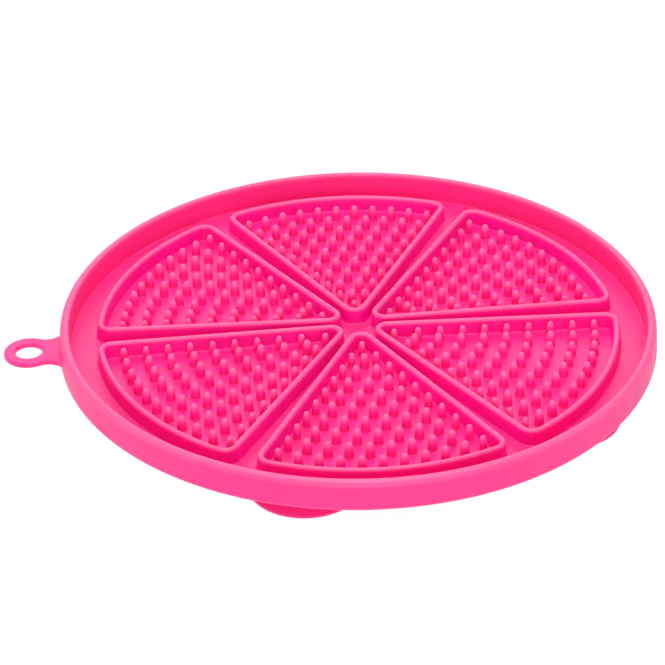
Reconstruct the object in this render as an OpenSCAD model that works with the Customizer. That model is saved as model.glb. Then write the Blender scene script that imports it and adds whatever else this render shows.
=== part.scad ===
// Round silicone lick mat. A raised rim holds six wedge-shaped cells, each with its own low wall and
// its field of nubs. Five suction cups stand under the floor, and a tab with a hole hangs the mat up.
// Millimetres, +Z up. The cups' lips rest on Z = 0, the tab points to -X, and the origin is the middle
// of the mat's outline with its tab, so the round tray itself lies a little to +X.

/* [Tray] */
// Diameter across the foot of the rim
rim_d = 200; // [190:1:260]
// Height of the rim above the underside
rim_h = 10.7; // [9:0.1:16]
// How far the outer side of the rim leans in on its way up
rim_lean = 0.4; // [0:0.1:1]
// Thickness of the rim at its top
rim_t = 3.1; // [3.1:0.1:6]
// Radius of the broad round along the outer top edge of the rim
rim_round = 2.2; // [1:0.1:2.2]
// Radius of the smaller round along the inner top edge of the rim
rim_lip_round = 0.9; // [0.2:0.1:0.9]
// Radius of the broad round along the foot of the rim's outer side
rim_foot_round = 2.2; // [0.5:0.1:2.8]
// Radius of the fillet where the rim meets the floor
rim_fillet = 0.5; // [0.3:0.1:3]
// Thickness of the floor
floor_t = 1.6; // [1:0.1:3]

/* [Cells] */
// Width of the trough round the cells, from the rim's inner face to the middle of the cell walls' outer arc
trough_w = 10; // [8:0.1:14]
// Width of the channel between two cells at the hub, from wall middle to wall middle
channel_hub_w = 3.8; // [3:0.1:6]
// Width of the same channel at the outer arc
channel_rim_w = 9.2; // [7:0.1:12]
// Radius of the cell corner at the hub, at the middle of the wall
apex_r = 3.4; // [2.5:0.1:5]
// Radius of the two outer cell corners, at the middle of the wall
corner_r = 3.8; // [2.5:0.1:6]
// Height of the cell walls above the floor
wall_h = 5.5; // [3:0.1:7]
// Thickness of the cell wall below its round top
wall_top_t = 2.1; // [1.4:0.1:2.5]
// Thickness of the cell wall above its foot
wall_foot_t = 2.5; // [1.8:0.1:2.8]
// Size of the bevel along both sides of the foot of the wall
foot_bevel = 0.35; // [0.1:0.05:0.5]

/* [Nubs] */
// Distance of the single first nub from the middle of the mat
first_row = 13.3; // [12.5:0.1:15]
// Distance from one row to the next
row_step = 7.36; // [6.5:0.02:7.4]
// Distance from nub to nub along a row
nub_step = 6.64; // [5:0.02:6.8]
// Distance of the slim nubs beside a wall from the middle of that wall
edge_gap = 4; // [3.6:0.1:4.5]
// Least distance of the last row from the middle of the outer arc of the wall
arc_gap = 6.8; // [5:0.1:8]
// Height of the nubs above the floor
nub_h = 5.3; // [4.5:0.1:7]
// Height of the nubs' shoulder, above which they narrow to their tip
nub_shoulder_h = 2.8; // [1:0.1:3]
// Diameter of the stout nubs at their foot
nub_foot_d = 3.3; // [2.8:0.1:4]
// Diameter of the stout nubs at their shoulder
nub_shoulder_d = 2.9; // [2.4:0.1:3.2]
// Diameter of the round tip of the stout nubs
nub_tip_d = 2.2; // [1.2:0.1:2.4]
// Diameter of the slim nubs at their foot
slim_foot_d = 2.6; // [2.4:0.1:3]
// Diameter of the slim nubs at their shoulder
slim_shoulder_d = 2.4; // [2:0.1:2.5]
// Diameter of the round tip of the slim nubs
slim_tip_d = 1.9; // [1:0.1:2]

/* [Hanging tab] */
// Distance of the middle of the hole from the foot of the rim
tab_reach = 10.3; // [9:0.1:20]
// Outer diameter of the ring round the hole
tab_ring_d = 16.6; // [14.5:0.1:18]
// Diameter of the hole
tab_hole_d = 9; // [5:0.1:10]
// Width of the neck between the ring and the rim
tab_neck_w = 13.8; // [8:0.1:14]
// Radius of the hollow curve on both sides of the neck
tab_flare_r = 5.5; // [4:0.1:7]
// Thickness of the tab
tab_t = 1.8; // [1.2:0.1:4]
// Height of the tab's lower face above the underside of the floor
tab_lift = 1; // [0:0.1:3]

/* [Suction cups] */
// Distance of the middle of a cup from the foot of the rim
cup_inset = 22.6; // [20:0.1:40]
// Diameter of the lip
cup_lip_d = 36.7; // [26:0.1:38]
// Height from the lip to the underside of the floor
cup_h = 6.3; // [6.3:0.1:14]
// Diameter of the solid neck
cup_neck_d = 17; // [10:0.1:20]
// Height of the hollow at its middle
cup_hollow_h = 4.6; // [3:0.1:4.6]
// Thickness of the crown between the hollow and the shoulder of the neck
cup_crown_t = 1; // [0.6:0.1:1]
// Thickness of the lip at its edge
cup_lip_t = 0.7; // [0.4:0.1:1]
// Width of the flat ring on which the lip stands
cup_land_w = 1.1; // [0.6:0.1:2]
// Bevel where the neck meets the underside
cup_neck_bevel = 0.6; // [0.1:0.1:0.6]

/* [Hidden] */
$fn = 64;

// Counts that the node names follow
cell_n = 6;
cup_n = 5;

// Colour of the whole moulding, and two close shades that tell the sub-parts apart
tray_colour = "#ff3f8d";
wall_colour = "#ff6fab";
nub_colour = "#ff5c9f";
cup_colour = "#f72f7e";

// Steps of the cell wall's sweep: round its top, round each corner and along the outer arc
top_steps = 8;
bend_steps = 10;
arc_steps = 14;
// Steps of the rim's rounds, of its inner lip and of its fillet
round_steps = 8;
lip_steps = 4;
fillet_steps = 6;

// A cut runs past the surface by this much, and a nub is rooted this deep in its bed
overrun = 0.4;

// Places of the tray and of the levels that the sub-parts share
rim_r = rim_d / 2;
tab_x = rim_r + tab_reach;
mat_x = (tab_x + tab_ring_d / 2 - rim_r) / 2;
under_z = cup_h;
floor_z = under_z + floor_t;

// Rim section: radii of its inner face, of its leaning outer side at the top, and of the floor's edge
rim_top_r = rim_r - rim_lean;
rim_in_r = rim_top_r - rim_t;
web_r = rim_in_r - rim_fillet;

// Radius of the outer arc of the cell walls, at the middle of the wall
cell_r = rim_in_r - trough_w;
// A cell wall's straight run leans off the middle of its channel, because the channel widens outwards
channel_lean = atan((channel_rim_w - channel_hub_w) / 2 / cell_r);
half_a = 180 / cell_n - channel_lean;
side_off = channel_hub_w / 2 * cos(channel_lean);
// Where the two straight runs would meet, and the middles of the three rounded corners
apex_x = side_off / sin(half_a);
apex_mid = [apex_x + apex_r / sin(half_a), 0];
corner_mid_r = cell_r - corner_r;
corner_a = half_a - asin((corner_r + side_off) / corner_mid_r);
corner_mid = corner_mid_r * [cos(corner_a), sin(corner_a)];
// The bed under the nubs reaches to the foot of the wall
bed_inset = wall_foot_t / 2 + foot_bevel;

// Tab: the hollow curve beside the neck touches the ring and meets the rim short of its own middle line
flare_root_share = 3 / 4;
flare_y = tab_neck_w / 2 + tab_flare_r;
flare_dx = sqrt(pow(tab_ring_d / 2 + tab_flare_r, 2) - pow(flare_y, 2));
neck_start = flare_dx * (tab_ring_d / 2) / (tab_ring_d / 2 + tab_flare_r);
root_w = tab_neck_w + 2 * tab_flare_r * flare_root_share;

// Rows of nubs that fit between the first one and the outer arc
row_n = floor((cell_r - arc_gap - first_row) / row_step) + 1;

// Cup: its shoulder and its hollow are both parts of spheres centred on its axis
cup_ring_r = rim_r - cup_inset;
cup_lip_r = cup_lip_d / 2;
cup_neck_r = cup_neck_d / 2;
hollow_mouth_r = cup_lip_r - cup_land_w;
hollow_r = (pow(hollow_mouth_r, 2) + pow(cup_hollow_h, 2)) / (2 * cup_hollow_h);
crown_z = cup_hollow_h + cup_crown_t;
dome_z = (pow(cup_lip_r, 2) + pow(cup_lip_t, 2) - pow(cup_neck_r, 2) - pow(crown_z, 2))
    / (2 * (cup_lip_t - crown_z));
dome_r = norm([cup_lip_r, cup_lip_t - dome_z]);

// Puts a cell drawn along +X in its place, with the first cell just left of the +X channel
module in_cell(number) {
    translate([mat_x, 0, 0])
        rotate((number - 1 / 2) * 360 / cell_n)
            children();
}

// Points along an arc in a section
function arc(mid, radius, start_a, end_a, steps) = [
    for (step = [0 : steps])
        let (a = start_a + (end_a - start_a) * step / steps)
            mid + radius * [cos(a), sin(a)]
];

// Section of the cell wall: distance across the wall from its middle, and height above the floor.
// The wall leans in from a bevelled foot to a full round top
wall_section = concat(
    [
        [-wall_foot_t / 2 - foot_bevel, 0],
        [wall_foot_t / 2 + foot_bevel, 0],
        [wall_foot_t / 2, foot_bevel]
    ],
    arc([0, wall_h - wall_top_t / 2], wall_top_t / 2, 0, 180, top_steps),
    [[-wall_foot_t / 2, foot_bevel]]
);

// Stations round a bend of the wall: each is a point on the middle line and the way out of the cell
function bend(mid, radius, start_a, end_a, first, last, steps) = [
    for (step = [first : last])
        let (a = start_a + (end_a - start_a) * step / steps, out = [cos(a), sin(a)])
            [mid + radius * out, out]
];

// The whole loop, anticlockwise: the hub corner, an outer corner, the outer arc, the other outer corner
wall_loop = concat(
    bend(apex_mid, apex_r, 90 + half_a, 270 - half_a, 0, bend_steps, bend_steps),
    bend([corner_mid.x, -corner_mid.y], corner_r, 270 - half_a, 360 - corner_a, 0, bend_steps, bend_steps),
    bend([0, 0], cell_r, -corner_a, corner_a, 1, arc_steps - 1, arc_steps),
    bend(corner_mid, corner_r, corner_a, 90 + half_a, 0, bend_steps, bend_steps)
);

// The closed wall round one cell: the section swept round the loop
module cell_wall(number) {
    around = len(wall_section);
    stations = len(wall_loop);
    corners = [
        for (station = wall_loop)
            for (spot = wall_section)
                [for (part = station[0] + spot.x * station[1]) part, spot.y]
    ];
    faces = [
        for (i = [0 : stations - 1])
            for (j = [0 : around - 1])
                let (
                    here = i * around,
                    there = (i + 1) % stations * around,
                    next = (j + 1) % around
                )
                    for (face = [[here + j, here + next, there + next], [here + j, there + next, there + j]])
                        face
    ];
    color(wall_colour)
        in_cell(number)
            translate([0, 0, floor_z])
                polyhedron(corners, faces);
}

// Outline of a cell, drawn in from the middle line of its wall
module cell_outline(inset) {
    polygon([for (station = wall_loop) station[0] - inset * station[1]]);
}

// A bullet-shaped nub: nearly upright up to its shoulder, then narrower up to a ball-shaped tip
module nub(foot_d, shoulder_d, tip_d) {
    rotate_extrude() {
        polygon([
            [0, -overrun],
            [foot_d / 2, -overrun],
            [foot_d / 2, 0],
            [shoulder_d / 2, nub_shoulder_h],
            [tip_d / 2, nub_h - tip_d / 2],
            [0, nub_h - tip_d / 2]
        ]);
        intersection() {
            translate([0, nub_h - tip_d / 2])
                circle(d = tip_d);
            square([tip_d, nub_h]);
        }
    }
}

// Radius of a row about the point where the cell's two straight walls would meet
function row_r(row) = first_row - apex_x + row * row_step;
// Angle of a slim nub beside the wall in a row
function edge_a(row) = half_a - asin(edge_gap / row_r(row));
// Angle of one of the stout nubs, which are spaced evenly about the middle of their row
function stout_a(row, place) = (place - (row - 1) / 2) * nub_step / row_r(row) * 180 / PI;

// The nubs of one cell: a first slim one, then rows of stout nubs with a slim one at each end
module nub_rows() {
    translate([first_row, 0, 0])
        nub(slim_foot_d, slim_shoulder_d, slim_tip_d);
    for (row = [1 : row_n - 1]) {
        for (place = [0 : row - 1])
            translate([apex_x, 0, 0])
                rotate(stout_a(row, place))
                    translate([row_r(row), 0, 0])
                        nub(nub_foot_d, nub_shoulder_d, nub_tip_d);
        for (way = [-1, 1])
            translate([apex_x, 0, 0])
                rotate(way * edge_a(row))
                    translate([row_r(row), 0, 0])
                        nub(slim_foot_d, slim_shoulder_d, slim_tip_d);
    }
}

// The floor of one cell with its field of nubs
module nub_bed(number) {
    color(nub_colour)
        in_cell(number) {
            translate([0, 0, under_z])
                linear_extrude(floor_t)
                    cell_outline(bed_inset);
            translate([0, 0, floor_z])
                nub_rows();
        }
}

// The floor of the hub, the six channels and the ring outside the cells
module floor_web() {
    color(tray_colour)
        difference() {
            translate([mat_x, 0, under_z])
                cylinder(r = web_r, h = floor_t);
            for (number = [1 : cell_n])
                in_cell(number)
                    translate([0, 0, under_z - overrun])
                        linear_extrude(floor_t + 2 * overrun)
                            cell_outline(bed_inset);
        }
}

// Section of the rim: its round foot, the leaning outer side, the broad round outer edge, the smaller
// round inner edge, the inner face and the fillet down to the floor
module rim_section() {
    polygon(concat(
        [[web_r, 0]],
        arc([rim_r - rim_foot_round, rim_foot_round], rim_foot_round, -90, 0, round_steps),
        arc([rim_top_r - rim_round, rim_h - rim_round], rim_round, 0, 90, round_steps),
        arc([rim_in_r + rim_lip_round, rim_h - rim_lip_round], rim_lip_round, 90, 180, lip_steps),
        arc([web_r, floor_t + rim_fillet], rim_fillet, 0, -90, fillet_steps)
    ));
}

// The raised rim round the tray
module rim() {
    color(tray_colour)
        translate([mat_x, 0, under_z])
            rotate_extrude($fn = 180)
                rim_section();
}

// Outline of the tab, with the middle of its hole at the origin and the rim on the +X side
module tab_outline() {
    difference() {
        union() {
            circle(d = tab_ring_d);
            difference() {
                translate([neck_start, -root_w / 2])
                    square([tab_reach + rim_foot_round - neck_start, root_w]);
                for (way = [-1, 1])
                    translate([flare_dx, way * flare_y])
                        circle(r = tab_flare_r);
            }
        }
        circle(d = tab_hole_d);
    }
}

// The tab that the mat hangs from, cut to the rim's side
module hanging_tab() {
    color(tray_colour)
        difference() {
            translate([mat_x - tab_x, 0, under_z + tab_lift])
                linear_extrude(tab_t)
                    tab_outline();
            translate([mat_x, 0, under_z])
                rotate_extrude($fn = 180)
                    union() {
                        rim_section();
                        square([web_r + overrun, rim_h - rim_round]);
                    }
        }
}

// Section of a cup: a dome with a flat lip, a neck above it and a shallow hollow below
module cup_section() {
    difference() {
        union() {
            square([cup_lip_r, cup_lip_t]);
            intersection() {
                translate([0, dome_z])
                    circle(r = dome_r);
                square([cup_lip_r, crown_z]);
            }
            polygon([
                [0, cup_lip_t],
                [cup_neck_r, cup_lip_t],
                [cup_neck_r, cup_h - cup_neck_bevel],
                [cup_neck_r + cup_neck_bevel, cup_h],
                [0, cup_h]
            ]);
        }
        translate([0, cup_hollow_h - hollow_r])
            circle(r = hollow_r);
    }
}

// One suction cup. The first stands under the tab's side, and the rest follow round the mat
module suction_cup(number) {
    color(cup_colour)
        translate([mat_x, 0, 0])
            rotate(180 + (number - 1) * 360 / cup_n)
                translate([cup_ring_r, 0, 0])
                    rotate_extrude()
                        cup_section();
}

floor_web();
rim();
hanging_tab();
cell_wall(1);  // cell_wall_1
cell_wall(2);  // cell_wall_2
cell_wall(3);  // cell_wall_3
cell_wall(4);  // cell_wall_4
cell_wall(5);  // cell_wall_5
cell_wall(6);  // cell_wall_6
nub_bed(1);  // nub_bed_1
nub_bed(2);  // nub_bed_2
nub_bed(3);  // nub_bed_3
nub_bed(4);  // nub_bed_4
nub_bed(5);  // nub_bed_5
nub_bed(6);  // nub_bed_6
suction_cup(1);  // suction_cup_1
suction_cup(2);  // suction_cup_2
suction_cup(3);  // suction_cup_3
suction_cup(4);  // suction_cup_4
suction_cup(5);  // suction_cup_5
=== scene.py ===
"""Looks of a round lick mat, moulded in one piece from bright pink silicone.

Every piece is built in millimetres in the part's own frame, +Z up, and stands for the sub-part of
the frame that it is named after. The mat stands on its suction cups on a plain white table. Values
named STEPS say how many straight pieces a round is drawn in.
"""
import math

import bmesh
import bpy
from mathutils import Matrix, Vector


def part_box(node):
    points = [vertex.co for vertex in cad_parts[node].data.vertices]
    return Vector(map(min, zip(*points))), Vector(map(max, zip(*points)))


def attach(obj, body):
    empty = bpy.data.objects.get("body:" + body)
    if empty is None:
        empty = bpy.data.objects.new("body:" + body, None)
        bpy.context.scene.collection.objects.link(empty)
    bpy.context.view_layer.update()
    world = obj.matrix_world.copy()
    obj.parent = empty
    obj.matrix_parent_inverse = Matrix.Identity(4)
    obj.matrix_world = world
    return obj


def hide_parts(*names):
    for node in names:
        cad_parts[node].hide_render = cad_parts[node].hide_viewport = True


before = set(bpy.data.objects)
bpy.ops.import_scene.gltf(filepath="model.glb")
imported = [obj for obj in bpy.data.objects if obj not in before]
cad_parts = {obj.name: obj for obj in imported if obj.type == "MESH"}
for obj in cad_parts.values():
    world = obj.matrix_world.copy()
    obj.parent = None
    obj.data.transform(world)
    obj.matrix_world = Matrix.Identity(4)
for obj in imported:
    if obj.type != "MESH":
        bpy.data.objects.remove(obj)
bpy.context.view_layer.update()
scene = bpy.context.scene
MM = 0.001

# Places and levels of the sub-parts, from the frame
rim_low, rim_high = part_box("rim")
MAT_X = (rim_low[0] + rim_high[0]) / 2 / MM
UNDER_Z = rim_low[2] / MM
RIM_TOP_Z = rim_high[2] / MM
FLOOR_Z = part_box("floor_web")[1][2] / MM
WALL_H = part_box("cell_wall_1")[1][2] / MM - FLOOR_Z
NUB_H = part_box("nub_bed_1")[1][2] / MM - FLOOR_Z
tab_low, tab_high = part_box("hanging_tab")
TAB_Z = tab_low[2] / MM
TAB_T = tab_high[2] / MM - TAB_Z

# Rim, in millimetres as all sizes below
RIM_R = 100
RIM_LEAN = 0.4
RIM_T = 3.1
RIM_ROUND = 2.2
RIM_LIP_ROUND = 0.9
RIM_FOOT_ROUND = 2.2
RIM_FILLET = 0.5
RIM_STEPS = 256
RIM_FOOT_STEPS = 12
RIM_ROUND_STEPS = 14
RIM_LIP_STEPS = 6
RIM_FILLET_STEPS = 10

# Cells: the middle line of a cell's wall and the wall's section
CELLS = 6
CELL_R = 86.5
CHANNEL_HUB_W = 3.8
CHANNEL_RIM_W = 9.2
APEX_R = 3.4
CORNER_R = 3.8
WALL_TOP_T = 2.1
WALL_FOOT_T = 2.5
WALL_FILLET = 0.55
WALL_ROOT = 0.3
BED_INSET = 1.6
WALL_TOP_STEPS = 12
WALL_FILLET_STEPS = 5
CORNER_STEPS = 12
ARC_STEPS = 44

# Nubs
ROWS = 10
FIRST_ROW = 13.3
ROW_STEP = 7.36
NUB_STEP = 6.64
EDGE_GAP = 4
SHOULDER_H = 2.8
STOUT_FOOT_D = 3.3
STOUT_SHOULDER_D = 2.9
STOUT_TIP_D = 2.2
SLIM_FOOT_D = 2.6
SLIM_SHOULDER_D = 2.4
SLIM_TIP_D = 1.9
NUB_FILLET = 0.25
NUB_ROOT = 0.05
NUB_SIDES = 12
NUB_TIP_STEPS = 4
NUB_FILLET_STEPS = 2
NUB_LEAN = math.radians(1.2)

# Hanging tab
TAB_REACH = 10.3
TAB_RING_R = 8.3
TAB_HOLE_R = 4.5
TAB_NECK_W = 13.8
TAB_FLARE_R = 5.5
TAB_EDGE_ROUND = 0.55
TAB_ROOT = 1.1
TAB_EDGE_STEPS = 4
TAB_FLARE_STEPS = 12
TAB_RING_STEPS = 40
HOLE_STEPS = 48

# Suction cups
CUPS = 5
CUP_RING_R = 77.4
CUP_LIP_R = 18.35
CUP_H = UNDER_Z
CUP_NECK_R = 8.5
CUP_HOLLOW_H = 4.6
CUP_CROWN_T = 1
CUP_LIP_T = 0.7
CUP_LAND_W = 1.1
CUP_NECK_FILLET = 0.6
CUP_ROOT = 0.3
CUP_STEPS = 96
CUP_HOLLOW_STEPS = 12
CUP_DOME_STEPS = 14
CUP_NECK_STEPS = 5

# Smooth shading stops at edges that turn by more than this many degrees
SHARP = 40

# Silicone: how wide its streaks of pigment, its glossier patches, its waves and its grain are
SWIRL_W = 28
PATCH_W = 9
WAVE_W = 14
GRAIN_W = 0.45
WAVE_DEPTH = 0.5
GRAIN_DEPTH = 0.05
LIGHT_DEPTH = 1.2

# Table: half its width, and how wide its mottling is
TABLE_HALF = 6000
TABLE_MOTTLE_W = 60

# Light: glow of the white room and of the table, and each softbox's place, size in metres and watts
ROOM_GLOW = 0.45
TABLE_GLOW = 0.97
SOFTBOXES = {
    "overhead_softbox": ((0, 0, 1.15), (0.6, 0.6), 8),
    "front_softbox": ((0, -1.2, 0.4), (1.2, 0.5), 6.2),
    "back_softbox": ((0, 1.2, 0.75), (1.6, 0.8), 6.2),
    "left_softbox": ((-1.2, 0, 0.4), (0.5, 1.2), 4.6),
    "right_softbox": ((1.15, 0, 0.6), (0.6, 1.0), 2.3),
}

# The straight runs of a cell wall, and the middles of its rounded corners
channel_lean = math.atan((CHANNEL_RIM_W - CHANNEL_HUB_W) / 2 / CELL_R)
half_a = math.pi / CELLS - channel_lean
side_off = CHANNEL_HUB_W / 2 * math.cos(channel_lean)
apex_x = side_off / math.sin(half_a)
apex_mid = Vector((apex_x + APEX_R / math.sin(half_a), 0))
corner_mid_r = CELL_R - CORNER_R
corner_a = half_a - math.asin((CORNER_R + side_off) / corner_mid_r)


def unit(angle):
    """Unit vector at an angle in radians."""
    return Vector((math.cos(angle), math.sin(angle)))


def arc(mid, radius, start, end, steps):
    """Points of an arc in a section, from one angle in degrees to another."""
    angles = [math.radians(start + (end - start) * step / steps) for step in range(steps + 1)]
    return [Vector(mid) + radius * unit(angle) for angle in angles]


def bend(mid, radius, start, end, steps):
    """Stations round a bend of a middle line: each is a point and the way out across the line."""
    angles = [start + (end - start) * step / steps for step in range(steps + 1)]
    return [(Vector(mid) + radius * unit(angle), unit(angle)) for angle in angles]


def circle_stations(mid, steps):
    """Stations round a circle for a section drawn from its axis."""
    return [(Vector(mid), unit(2 * math.pi * step / steps)) for step in range(steps)]


def cell_turn(number):
    """How far a cell drawn along +X turns. The first one lies just left of the +X channel."""
    return (number - 0.5) * 2 * math.pi / CELLS


def cell_place(number):
    """Turn and shift that put a cell drawn along +X in its place."""
    return Matrix.Translation((MAT_X, 0, 0)) @ Matrix.Rotation(cell_turn(number), 4, "Z")


def add_piece(name, points, faces, place=Matrix.Identity(4)):
    """A closed, smooth-shaded piece from points in millimetres, with its object at the origin."""
    mesh = bpy.data.meshes.new(name)
    mesh.from_pydata([(place @ Vector(point)) * MM for point in points], [], faces)
    work = bmesh.new()
    work.from_mesh(mesh)
    bmesh.ops.remove_doubles(work, verts=work.verts, dist=1e-7)
    bmesh.ops.recalc_face_normals(work, faces=work.faces)
    work.to_mesh(mesh)
    work.free()
    mesh.shade_smooth()
    mesh.set_sharp_from_angle(angle=math.radians(SHARP))
    piece = bpy.data.objects.new(name, mesh)
    scene.collection.objects.link(piece)
    return piece


def sweep(name, section, stations, place=Matrix.Identity(4), closed=True):
    """Carries a section of (across, up) points round a closed loop of stations. A section that
    starts and ends on the axis isn't closed itself."""
    around = len(section)
    points = [
        (*(base + spot[0] * out), spot[1])
        for base, out in stations
        for spot in section
    ]
    faces = []
    for i in range(len(stations)):
        here, there = i * around, (i + 1) % len(stations) * around
        for j in range(around if closed else around - 1):
            k = (j + 1) % around
            faces.append((here + j, here + k, there + k, there + j))
    return add_piece(name, points, faces, place)


def finish_piece(piece, material, *nodes):
    """Gives a piece its material and puts it in place of its sub-parts of the frame."""
    piece.data.materials.clear()
    piece.data.materials.append(material)
    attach(piece, "root")
    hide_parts(*nodes)


def add(tree, kind, inputs=None, **settings):
    """Adds a node with its settings, and fills its inputs with values or other nodes' sockets."""
    node = tree.nodes.new(kind)
    for name, value in settings.items():
        setattr(node, name, value)
    for key, value in (inputs or {}).items():
        if isinstance(value, bpy.types.NodeSocket):
            tree.links.new(value, node.inputs[key])
        else:
            node.inputs[key].default_value = value
    return node


def linear(hex_colour):
    """sRGB hex colour to linear RGBA."""
    parts = [int(hex_colour[i:i + 2], 16) / 255 for i in (1, 3, 5)]
    return [c / 12.92 if c <= 0.04045 else ((c + 0.055) / 1.055) ** 2.4 for c in parts] + [1]


def per_mm(size):
    """Noise scale whose grains are about this many millimetres across."""
    return 1 / (size * MM)


def moulded_silicone(name, painted_shade_and_light_tones):
    """Pigmented silicone rubber, moulded against a finely blasted steel mould. It is soft and a
    little see-through, so light spreads inside it, and its satin skin has only a broad dull gloss.
    Each tone stands for a height in millimetres, and together they paint light and shade: paler up
    towards tops and edges as painted light, deeper lower down as painted shade. The mould's grain
    is about 0.1 mm wide on the real one, too fine to show,
    and is drawn wider."""
    material = bpy.data.materials.new(name)
    material.use_nodes = True
    tree = material.node_tree
    tree.nodes.clear()
    place = add(tree, "ShaderNodeTexCoord").outputs["Object"]
    low, high = painted_shade_and_light_tones[0][0], painted_shade_and_light_tones[-1][0]
    height = add(tree, "ShaderNodeSeparateXYZ", {"Vector": place})
    level = add(tree, "ShaderNodeMapRange", {
        "Value": height.outputs["Z"], "From Min": low * MM, "From Max": high * MM})
    # Painted light and shade: the colour ramps from deep low down to pale high up
    tone = add(tree, "ShaderNodeValToRGB", {"Fac": level.outputs["Result"]})
    tone.color_ramp.elements[0].color = linear(painted_shade_and_light_tones[0][1])
    tone.color_ramp.elements[1].color = linear(painted_shade_and_light_tones[-1][1])
    for spot, hex_colour in painted_shade_and_light_tones[1:-1]:
        tone.color_ramp.elements.new((spot - low) / (high - low)).color = linear(hex_colour)
    # Pigment that isn't stirred in quite evenly
    swirl = add(tree, "ShaderNodeTexNoise", {
        "Vector": place, "Scale": per_mm(SWIRL_W), "Detail": 3, "Distortion": 0.6})
    strength = add(tree, "ShaderNodeMapRange", {
        "Value": swirl.outputs["Fac"],
        "From Min": 0.35, "From Max": 0.68, "To Min": 0.96, "To Max": 1.04})
    colour = add(tree, "ShaderNodeHueSaturation", {
        "Value": strength.outputs["Result"], "Color": tone.outputs["Color"]})
    # Patches where the skin came off the mould a little glossier
    patches = add(tree, "ShaderNodeTexNoise", {
        "Vector": place, "Scale": per_mm(PATCH_W), "Detail": 4})
    gloss = add(tree, "ShaderNodeMapRange", {
        "Value": patches.outputs["Fac"],
        "From Min": 0.3, "From Max": 0.7, "To Min": 0.4, "To Max": 0.5})
    # Grain of the blasted mould, and the slight waviness of a soft moulding
    grain = add(tree, "ShaderNodeTexNoise", {
        "Vector": place, "Scale": per_mm(GRAIN_W), "Detail": 2})
    waves = add(tree, "ShaderNodeTexNoise", {
        "Vector": place, "Scale": per_mm(WAVE_W), "Detail": 1})
    wavy = add(tree, "ShaderNodeBump", {
        "Height": waves.outputs["Fac"], "Strength": 0.25, "Distance": WAVE_DEPTH * MM})
    grainy = add(tree, "ShaderNodeBump", {
        "Height": grain.outputs["Fac"], "Strength": 0.18, "Distance": GRAIN_DEPTH * MM,
        "Normal": wavy.outputs["Normal"]})
    shader = add(tree, "ShaderNodeBsdfPrincipled", {
        "Base Color": colour.outputs["Color"], "Roughness": gloss.outputs["Result"],
        "Normal": grainy.outputs["Normal"], "IOR": 1.5, "Subsurface Weight": 0.12,
        "Subsurface Radius": (1, 0.6, 0.8), "Subsurface Scale": LIGHT_DEPTH * MM})
    add(tree, "ShaderNodeOutputMaterial", {"Surface": shader.outputs["BSDF"]})
    return material


# The same silicone three times, with light and shade painted by height: the rim is painted paler
# at its top as painted light, and a wall or a nub goes from deep painted shade low down to pale
# painted light at its top
silicone = moulded_silicone("silicone_moulded_satin", [
    (RIM_TOP_Z - RIM_ROUND, "#f22685"),
    (RIM_TOP_Z, "#fd5490"),
])
wall_top_z = FLOOR_Z + WALL_H
# Painted shade low on each cell wall, painted light on its round top
wall_silicone_painted_shading = moulded_silicone("silicone_moulded_wall_tops", [
    (wall_top_z - WALL_TOP_T, "#f00096"),
    (wall_top_z - 1, "#f41a8e"),
    (wall_top_z, "#fd5090"),
])
# Painted shade deepest just above the nubs' feet, painted light on their upper bodies and tips
nub_silicone_painted_shading = moulded_silicone("silicone_moulded_nubs", [
    (FLOOR_Z, "#f31a86"),
    (FLOOR_Z + 0.7, "#ee0880"),
    (FLOOR_Z + 1.9, "#f0108a"),
    (FLOOR_Z + 3, "#f83498"),
    (FLOOR_Z + 4.2, "#fd60aa"),
    (FLOOR_Z + NUB_H, "#fd5696"),
])


def make_rim():
    """The raised rim, one revolved section: a round foot, a leaning outer side, a broad round outer
    edge, a smaller round inner edge and a fillet down to the floor."""
    top_r = RIM_R - RIM_LEAN
    in_r = top_r - RIM_T
    web_r = in_r - RIM_FILLET
    rim_h = RIM_TOP_Z - UNDER_Z
    floor_t = FLOOR_Z - UNDER_Z
    section = (
        [Vector((web_r, 0))]
        + arc((RIM_R - RIM_FOOT_ROUND, RIM_FOOT_ROUND), RIM_FOOT_ROUND, -90, 0, RIM_FOOT_STEPS)
        + arc((top_r - RIM_ROUND, rim_h - RIM_ROUND), RIM_ROUND, 0, 90, RIM_ROUND_STEPS)
        + arc((in_r + RIM_LIP_ROUND, rim_h - RIM_LIP_ROUND), RIM_LIP_ROUND, 90, 180, RIM_LIP_STEPS)
        + arc((web_r, floor_t + RIM_FILLET), RIM_FILLET, 0, -90, RIM_FILLET_STEPS)
    )
    stations = circle_stations((MAT_X, 0), RIM_STEPS)
    piece = sweep("rim_moulding", section, stations, Matrix.Translation((0, 0, UNDER_Z)))
    finish_piece(piece, silicone, "rim")


def wall_loop():
    """Stations round the middle line of a cell's wall: the hub corner, an outer corner, the outer
    arc and the other outer corner."""
    quarter = math.pi / 2
    left, right = quarter + half_a, 3 * quarter - half_a
    corner = corner_mid_r * unit(corner_a)
    return (
        bend(apex_mid, APEX_R, left, right, CORNER_STEPS)
        + bend((corner.x, -corner.y), CORNER_R, right, 4 * quarter - corner_a, CORNER_STEPS)
        + bend((0, 0), CELL_R, -corner_a, corner_a, ARC_STEPS)[1:-1]
        + bend(corner, CORNER_R, corner_a, left, CORNER_STEPS)
    )


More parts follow.
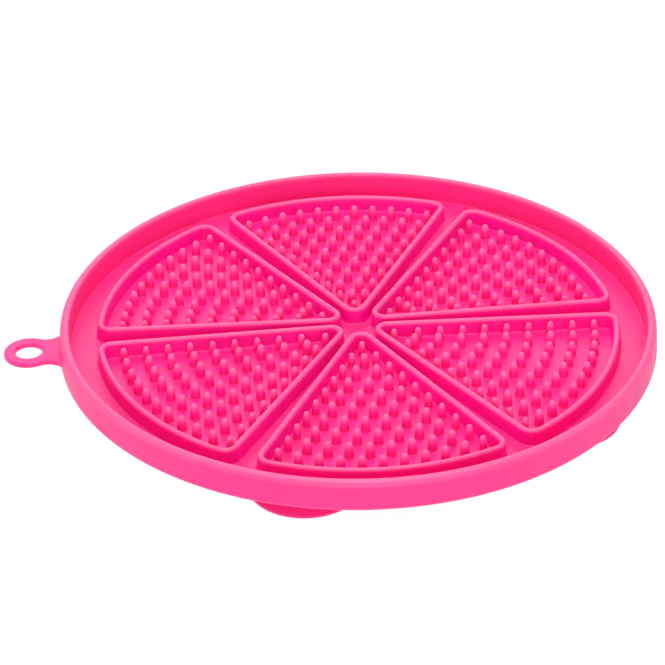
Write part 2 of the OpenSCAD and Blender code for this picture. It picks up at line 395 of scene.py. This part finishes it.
def make_cell_walls():
    """The closed wall round each cell: a fillet at both sides of its foot and a full round top."""
    top_r = WALL_TOP_T / 2
    toe = WALL_FOOT_T / 2 + WALL_FILLET
    section = (
        [Vector((-toe, -WALL_ROOT)), Vector((toe, -WALL_ROOT))]
        + arc((toe, WALL_FILLET), WALL_FILLET, 270, 180, WALL_FILLET_STEPS)
        + arc((0, WALL_H - top_r), top_r, 0, 180, WALL_TOP_STEPS)
        + arc((-toe, WALL_FILLET), WALL_FILLET, 0, -90, WALL_FILLET_STEPS)
    )
    for number in range(1, CELLS + 1):
        place = Matrix.Translation((0, 0, FLOOR_Z)) @ cell_place(number)
        piece = sweep(f"cell_wall_moulding_{number}", section, wall_loop(), place)
        finish_piece(piece, wall_silicone_painted_shading, f"cell_wall_{number}")


def make_nub(name, foot_d, shoulder_d, tip_d):
    """One bullet-shaped nub for the pattern to repeat: a fillet at its foot, nearly upright sides
    up to its shoulder, and a narrower neck below a ball tip."""
    foot_r, tip_r = foot_d / 2, tip_d / 2
    toe = foot_r + NUB_FILLET
    profile = (
        [Vector((0, 0))]
        + arc((toe, NUB_FILLET), NUB_FILLET, 270, 180, NUB_FILLET_STEPS)
        + [Vector((shoulder_d / 2, SHOULDER_H + NUB_ROOT))]
        + arc((0, NUB_H + NUB_ROOT - tip_r), tip_r, 0, 90, NUB_TIP_STEPS)
    )
    stations = circle_stations((0, 0), NUB_SIDES)
    nub = sweep(name, profile, stations, Matrix.Translation((0, 0, -NUB_ROOT)), closed=False)
    nub.hide_render = True
    return nub


def nub_pattern():
    """Geometry Nodes tree that sets a cell's nubs on arcs about the point where its walls would
    meet. Row 0 is one slim nub. Row N has N stout nubs, and one slim nub beside the wall at both
    ends."""
    # A half, and a little more so that no row is lost when a number is rounded down
    half_up = 0.501
    tree = bpy.data.node_groups.new("nub_rows_on_arcs", "GeometryNodeTree")
    face = tree.interface
    face.new_socket("Geometry", in_out="OUTPUT", socket_type="NodeSocketGeometry")
    sockets = {
        "Bed": "NodeSocketGeometry", "Stout nub": "NodeSocketObject",
        "Slim nub": "NodeSocketObject", "Rows": "NodeSocketInt", "First row": "NodeSocketFloat",
        "Row step": "NodeSocketFloat", "Nub step": "NodeSocketFloat",
        "Edge gap": "NodeSocketFloat", "Apex": "NodeSocketFloat", "Half angle": "NodeSocketFloat",
        "Floor level": "NodeSocketFloat", "Middle": "NodeSocketFloat", "Turn": "NodeSocketFloat",
        "Lean": "NodeSocketFloat", "Seed": "NodeSocketInt", "Material": "NodeSocketMaterial",
    }
    for name, kind in sockets.items():
        face.new_socket(name, in_out="INPUT", socket_type=kind)
    given = add(tree, "NodeGroupInput").outputs
    index = add(tree, "GeometryNodeInputIndex").outputs[0]
    first_r = add(tree, "ShaderNodeMath", {
        0: given["First row"], 1: given["Apex"]}, operation="SUBTRACT")

    # Stout nubs: row N starts at index N(N-1)/2, so index I is in row (1 + root of 8I+1) / 2
    eight = add(tree, "ShaderNodeMath", {0: index, 1: 8.0, 2: 1.0}, operation="MULTIPLY_ADD")
    root = add(tree, "ShaderNodeMath", {0: eight.outputs[0]}, operation="SQRT")
    upper = add(tree, "ShaderNodeMath", {
        0: root.outputs[0], 1: 0.5, 2: half_up}, operation="MULTIPLY_ADD")
    row = add(tree, "ShaderNodeMath", {0: upper.outputs[0]}, operation="FLOOR")
    before = add(tree, "ShaderNodeMath", {0: row.outputs[0], 1: 1.0}, operation="SUBTRACT")
    pairs = add(tree, "ShaderNodeMath", {
        0: row.outputs[0], 1: before.outputs[0]}, operation="MULTIPLY")
    passed = add(tree, "ShaderNodeMath", {0: pairs.outputs[0], 1: 0.5}, operation="MULTIPLY")
    spot = add(tree, "ShaderNodeMath", {0: index, 1: passed.outputs[0]}, operation="SUBTRACT")
    middle = add(tree, "ShaderNodeMath", {0: before.outputs[0], 1: 0.5}, operation="MULTIPLY")
    off = add(tree, "ShaderNodeMath", {
        0: spot.outputs[0], 1: middle.outputs[0]}, operation="SUBTRACT")
    along = add(tree, "ShaderNodeMath", {
        0: off.outputs[0], 1: given["Nub step"]}, operation="MULTIPLY")
    row_r = add(tree, "ShaderNodeMath", {
        0: row.outputs[0], 1: given["Row step"], 2: first_r.outputs[0]}, operation="MULTIPLY_ADD")
    angle = add(tree, "ShaderNodeMath", {
        0: along.outputs[0], 1: row_r.outputs[0]}, operation="DIVIDE")

    # Slim nubs: index 0 is the single first one, then one on each side of every row
    half = add(tree, "ShaderNodeMath", {0: index, 1: 0.5, 2: half_up}, operation="MULTIPLY_ADD")
    edge_row = add(tree, "ShaderNodeMath", {0: half.outputs[0]}, operation="FLOOR")
    edge_r = add(tree, "ShaderNodeMath", {
        0: edge_row.outputs[0], 1: given["Row step"], 2: first_r.outputs[0]},
        operation="MULTIPLY_ADD")
    sine = add(tree, "ShaderNodeMath", {
        0: given["Edge gap"], 1: edge_r.outputs[0]}, operation="DIVIDE")
    inward = add(tree, "ShaderNodeMath", {0: sine.outputs[0]}, operation="ARCSINE")
    beside = add(tree, "ShaderNodeMath", {
        0: given["Half angle"], 1: inward.outputs[0]}, operation="SUBTRACT")
    odd = add(tree, "ShaderNodeMath", {0: index, 1: 2.0}, operation="MODULO")
    way = add(tree, "ShaderNodeMath", {
        0: odd.outputs[0], 1: 2.0, 2: -1.0}, operation="MULTIPLY_ADD")
    paired = add(tree, "ShaderNodeMath", {
        0: edge_row.outputs[0], 1: 0.5}, operation="GREATER_THAN")
    side = add(tree, "ShaderNodeMath", {
        0: way.outputs[0], 1: paired.outputs[0]}, operation="MULTIPLY")
    edge_angle = add(tree, "ShaderNodeMath", {
        0: side.outputs[0], 1: beside.outputs[0]}, operation="MULTIPLY")

    # How many of each, where they stand, and a slight lean that differs from nub to nub
    one_less = add(tree, "ShaderNodeMath", {0: given["Rows"], 1: 1.0}, operation="SUBTRACT")
    both = add(tree, "ShaderNodeMath", {
        0: given["Rows"], 1: one_less.outputs[0]}, operation="MULTIPLY")
    stout_n = add(tree, "ShaderNodeMath", {0: both.outputs[0], 1: 0.5}, operation="MULTIPLY")
    slim_n = add(tree, "ShaderNodeMath", {
        0: one_less.outputs[0], 1: 2.0, 2: 1.0}, operation="MULTIPLY_ADD")
    least = add(tree, "ShaderNodeMath", {0: given["Lean"], 1: -1.0}, operation="MULTIPLY")
    least_way = add(tree, "ShaderNodeCombineXYZ", {"X": least.outputs[0], "Y": least.outputs[0]})
    most_way = add(tree, "ShaderNodeCombineXYZ", {"X": given["Lean"], "Y": given["Lean"]})
    standing = add(tree, "GeometryNodeJoinGeometry")
    rows = [
        (stout_n, row_r, angle, given["Stout nub"]),
        (slim_n, edge_r, edge_angle, given["Slim nub"]),
    ]
    for count, radius, turn, nub in rows:
        cosine = add(tree, "ShaderNodeMath", {0: turn.outputs[0]}, operation="COSINE")
        sine = add(tree, "ShaderNodeMath", {0: turn.outputs[0]}, operation="SINE")
        x = add(tree, "ShaderNodeMath", {
            0: radius.outputs[0], 1: cosine.outputs[0], 2: given["Apex"]},
            operation="MULTIPLY_ADD")
        y = add(tree, "ShaderNodeMath", {
            0: radius.outputs[0], 1: sine.outputs[0]}, operation="MULTIPLY")
        at = add(tree, "ShaderNodeCombineXYZ", {
            "X": x.outputs[0], "Y": y.outputs[0], "Z": given["Floor level"]})
        points = add(tree, "GeometryNodePoints", {
            "Count": count.outputs[0], "Position": at.outputs[0]})
        lean = add(tree, "FunctionNodeRandomValue", {
            "Min": least_way.outputs[0], "Max": most_way.outputs[0], "Seed": given["Seed"]},
            data_type="FLOAT_VECTOR")
        shape = add(tree, "GeometryNodeObjectInfo", {"Object": nub})
        stood = add(tree, "GeometryNodeInstanceOnPoints", {
            "Points": points.outputs[0], "Instance": shape.outputs["Geometry"],
            "Rotation": lean.outputs["Value"]})
        tree.links.new(stood.outputs[0], standing.inputs[0])
    tree.links.new(given["Bed"], standing.inputs[0])

    # The whole cell in its place, as one plain mesh of one material
    real = add(tree, "GeometryNodeRealizeInstances", {"Geometry": standing.outputs[0]})
    shift = add(tree, "ShaderNodeCombineXYZ", {"X": given["Middle"]})
    spin = add(tree, "ShaderNodeCombineXYZ", {"Z": given["Turn"]})
    placed = add(tree, "GeometryNodeTransform", {
        "Geometry": real.outputs[0], "Translation": shift.outputs[0],
        "Rotation": spin.outputs[0]})
    coloured = add(tree, "GeometryNodeSetMaterial", {
        "Geometry": placed.outputs[0], "Material": given["Material"]})
    add(tree, "NodeGroupOutput", {0: coloured.outputs[0]})
    return tree


def make_nub_beds():
    """The floor of each cell with its field of nubs, repeated by the pattern."""
    tree = nub_pattern()
    stout = make_nub("stout_nub", STOUT_FOOT_D, STOUT_SHOULDER_D, STOUT_TIP_D)
    slim = make_nub("slim_nub", SLIM_FOOT_D, SLIM_SHOULDER_D, SLIM_TIP_D)
    outline = [base - BED_INSET * out for base, out in wall_loop()]
    count = len(outline)
    points = [(*spot, level) for level in (UNDER_Z, FLOOR_Z) for spot in outline]
    faces = [tuple(range(count)), tuple(range(count, 2 * count))]
    faces += [(i, (i + 1) % count, count + (i + 1) % count, count + i) for i in range(count)]
    for number in range(1, CELLS + 1):
        bed = add_piece(f"nub_bed_moulding_{number}", points, faces)
        values = {
            "Stout nub": stout, "Slim nub": slim, "Rows": ROWS, "First row": FIRST_ROW * MM,
            "Row step": ROW_STEP * MM, "Nub step": NUB_STEP * MM, "Edge gap": EDGE_GAP * MM,
            "Apex": apex_x * MM, "Half angle": half_a, "Floor level": FLOOR_Z * MM,
            "Middle": MAT_X * MM, "Turn": cell_turn(number), "Lean": NUB_LEAN,
            "Seed": number, "Material": nub_silicone_painted_shading,
        }
        pattern = bed.modifiers.new("nub rows", "NODES")
        pattern.node_group = tree
        for item in tree.interface.items_tree:
            if item.name in values:
                pattern[item.identifier] = values[item.name]
        seen = bed.evaluated_get(bpy.context.evaluated_depsgraph_get())
        mesh = bpy.data.meshes.new_from_object(seen)
        bed.modifiers.clear()
        bed.data = mesh
        mesh.name = bed.name
        mesh.shade_smooth()
        mesh.set_sharp_from_angle(angle=math.radians(SHARP))
        finish_piece(bed, nub_silicone_painted_shading, f"nub_bed_{number}")
    for nub in (stout, slim):
        bpy.data.objects.remove(nub)


def tab_outline(inset):
    """Outer edge of the tab about the middle of its hole, from the rim round the ring and back."""
    flare_y = TAB_NECK_W / 2 + TAB_FLARE_R
    flare_x = math.sqrt((TAB_RING_R + TAB_FLARE_R) ** 2 - flare_y ** 2)
    touch = math.degrees(math.atan2(flare_y, flare_x))
    end_x = TAB_REACH + TAB_ROOT - flare_x
    flare_r = TAB_FLARE_R + inset
    end = math.degrees(math.asin(end_x / flare_r))
    upper = arc((flare_x, flare_y), flare_r, 270 + end, 180 + touch, TAB_FLARE_STEPS)
    ring = arc((0, 0), TAB_RING_R - inset, touch, 360 - touch, TAB_RING_STEPS)
    lower = [Vector((spot.x, -spot.y)) for spot in reversed(upper)]
    return upper[:-1] + ring + lower[1:]


def make_tab():
    """The flat ring tab, with all its edges rounded, run a little way into the rim's side. Loops
    round the outer edge and the hole, one pair for each level, are joined up and then capped."""
    rounds = arc((TAB_EDGE_ROUND, TAB_EDGE_ROUND), TAB_EDGE_ROUND, 270, 180, TAB_EDGE_STEPS)
    levels = rounds + [(inset, TAB_T - height) for inset, height in reversed(rounds)]
    points, faces, loops = [], [], []
    for inset, height in levels:
        outer = tab_outline(inset)
        hole = arc((0, 0), TAB_HOLE_R + inset, 0, 360, HOLE_STEPS)[:-1]
        start = len(points)
        points += [(*spot, height) for spot in outer + hole]
        loops.append((start, len(outer)))
    for (low, outer_n), (high, _) in zip(loops, loops[1:]):
        for ring_start, ring_n in ((0, outer_n), (outer_n, HOLE_STEPS)):
            for i in range(ring_n):
                j = (i + 1) % ring_n
                faces.append((low + ring_start + i, low + ring_start + j,
                              high + ring_start + j, high + ring_start + i))
    mesh = bpy.data.meshes.new("tab caps")
    work = bmesh.new()
    spots = [work.verts.new(point) for point in points]
    for face in faces:
        work.faces.new([spots[i] for i in face])
    for start, outer_n in (loops[0], loops[-1]):
        edges = []
        for ring_start, ring_n in ((start, outer_n), (start + outer_n, HOLE_STEPS)):
            for i in range(ring_n):
                pair = (spots[ring_start + i], spots[ring_start + (i + 1) % ring_n])
                edges.append(work.edges.get(pair))
        bmesh.ops.triangle_fill(work, use_beauty=True, edges=edges)
    work.to_mesh(mesh)
    work.free()
    place = Matrix.Translation((MAT_X - RIM_R - TAB_REACH, 0, TAB_Z))
    piece = add_piece("hanging_tab_moulding", [tuple(v.co) for v in mesh.vertices],
                      [tuple(f.vertices) for f in mesh.polygons], place)
    finish_piece(piece, silicone, "hanging_tab")


def make_cups():
    """The suction cups: a domed shoulder down to a thin lip, a filleted neck and a shallow
    hollow."""
    mouth_r = CUP_LIP_R - CUP_LAND_W
    hollow_r = (mouth_r ** 2 + CUP_HOLLOW_H ** 2) / (2 * CUP_HOLLOW_H)
    hollow_a = math.degrees(math.asin(mouth_r / hollow_r))
    crown_z = CUP_HOLLOW_H + CUP_CROWN_T
    squares = CUP_LIP_R ** 2 + CUP_LIP_T ** 2 - CUP_NECK_R ** 2 - crown_z ** 2
    dome_z = squares / (2 * (CUP_LIP_T - crown_z))
    dome_r = math.hypot(CUP_LIP_R, CUP_LIP_T - dome_z)
    lip_a = math.degrees(math.atan2(CUP_LIP_T - dome_z, CUP_LIP_R))
    neck_a = math.degrees(math.atan2(crown_z - dome_z, CUP_NECK_R))
    fillet = CUP_NECK_FILLET
    profile = (
        arc((0, CUP_HOLLOW_H - hollow_r), hollow_r, 90, 90 - hollow_a, CUP_HOLLOW_STEPS)
        + [Vector((CUP_LIP_R, 0))]
        + arc((0, dome_z), dome_r, lip_a, neck_a, CUP_DOME_STEPS)
        + arc((CUP_NECK_R + fillet, CUP_H - fillet), fillet, 180, 90, CUP_NECK_STEPS)
        + [Vector((CUP_NECK_R + fillet, CUP_H + CUP_ROOT)), Vector((0, CUP_H + CUP_ROOT))]
    )
    for number in range(1, CUPS + 1):
        turn = math.pi + (number - 1) * 2 * math.pi / CUPS
        mid = Vector((MAT_X, 0)) + CUP_RING_R * unit(turn)
        stations = circle_stations(mid, CUP_STEPS)
        piece = sweep(f"suction_cup_moulding_{number}", profile, stations, closed=False)
        finish_piece(piece, silicone, f"suction_cup_{number}")


make_rim()
make_cell_walls()
make_nub_beds()
make_tab()
make_cups()
# The plain floor between the cells keeps its shape from the frame
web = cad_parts["floor_web"]
web.data.materials.clear()
web.data.materials.append(silicone)


def white_table():
    """Opal acrylic with a matt face, lit from below as a light table is: a plain pale ground that
    shows next to no shadow and throws light up on the rim's side and the cups."""
    material = bpy.data.materials.new("acrylic_opal_lit_matt")
    material.use_nodes = True
    tree = material.node_tree
    shader = tree.nodes["Principled BSDF"]
    place = add(tree, "ShaderNodeTexCoord").outputs["Object"]
    # Its own colour is dark grey, because nearly all of its white is glow
    mottle = add(tree, "ShaderNodeTexNoise", {
        "Vector": place, "Scale": per_mm(TABLE_MOTTLE_W), "Detail": 2})
    tone = add(tree, "ShaderNodeValToRGB", {"Fac": mottle.outputs["Fac"]})
    tone.color_ramp.elements[0].color = linear("#404040")
    tone.color_ramp.elements[1].color = linear("#484848")
    tree.links.new(tone.outputs["Color"], shader.inputs["Base Color"])
    shader.inputs["Roughness"].default_value = 0.8
    shader.inputs["Emission Color"].default_value = linear("#ffffff")
    shader.inputs["Emission Strength"].default_value = TABLE_GLOW
    return material


def make_stage():
    """A wide white table top under the suction cups."""
    corners = [(x * TABLE_HALF, y * TABLE_HALF, 0) for x, y in ((-1, -1), (1, -1), (1, 1), (-1, 1))]
    table = add_piece("table_top", corners, [(0, 1, 2, 3)])
    table.data.materials.append(white_table())


def make_light():
    """A white room, with one soft light straight above the mat and one on each of its sides."""
    world = bpy.data.worlds.new("white_room")
    world.use_nodes = True
    glow = world.node_tree.nodes["Background"]
    glow.inputs["Color"].default_value = linear("#ffffff")
    glow.inputs["Strength"].default_value = ROOM_GLOW
    scene.world = world
    for name, (place, size, watts) in SOFTBOXES.items():
        lamp = bpy.data.lights.new(name, "AREA")
        lamp.shape = "RECTANGLE"
        lamp.size, lamp.size_y = size
        lamp.energy = watts
        softbox = bpy.data.objects.new(name, lamp)
        softbox.location = place
        softbox.rotation_euler = (-Vector(place)).to_track_quat("-Z", "Y").to_euler()
        scene.collection.objects.link(softbox)


def make_camera():
    """The photograph's view: its eye, how far it turns, looks down and rolls, and its lens."""
    eye = Vector((-57.8, -708.4, 451.6)) * MM
    turn, down, roll = 0.0824, 0.5568, -0.0162
    lens_px, frame_px, sensor_mm = 2489.8, 665, 36
    data = bpy.data.cameras.new("camera")
    data.sensor_width = sensor_mm
    data.lens = lens_px / frame_px * sensor_mm
    camera = bpy.data.objects.new("camera", data)
    look = (Matrix.Rotation(-turn, 4, "Z") @ Matrix.Rotation(math.pi / 2 - down, 4, "X")
            @ Matrix.Rotation(roll, 4, "Z"))
    camera.matrix_world = Matrix.Translation(eye) @ look
    scene.collection.objects.link(camera)
    scene.camera = camera


make_stage()
make_light()
make_camera()
scene.view_settings.view_transform = "Standard"
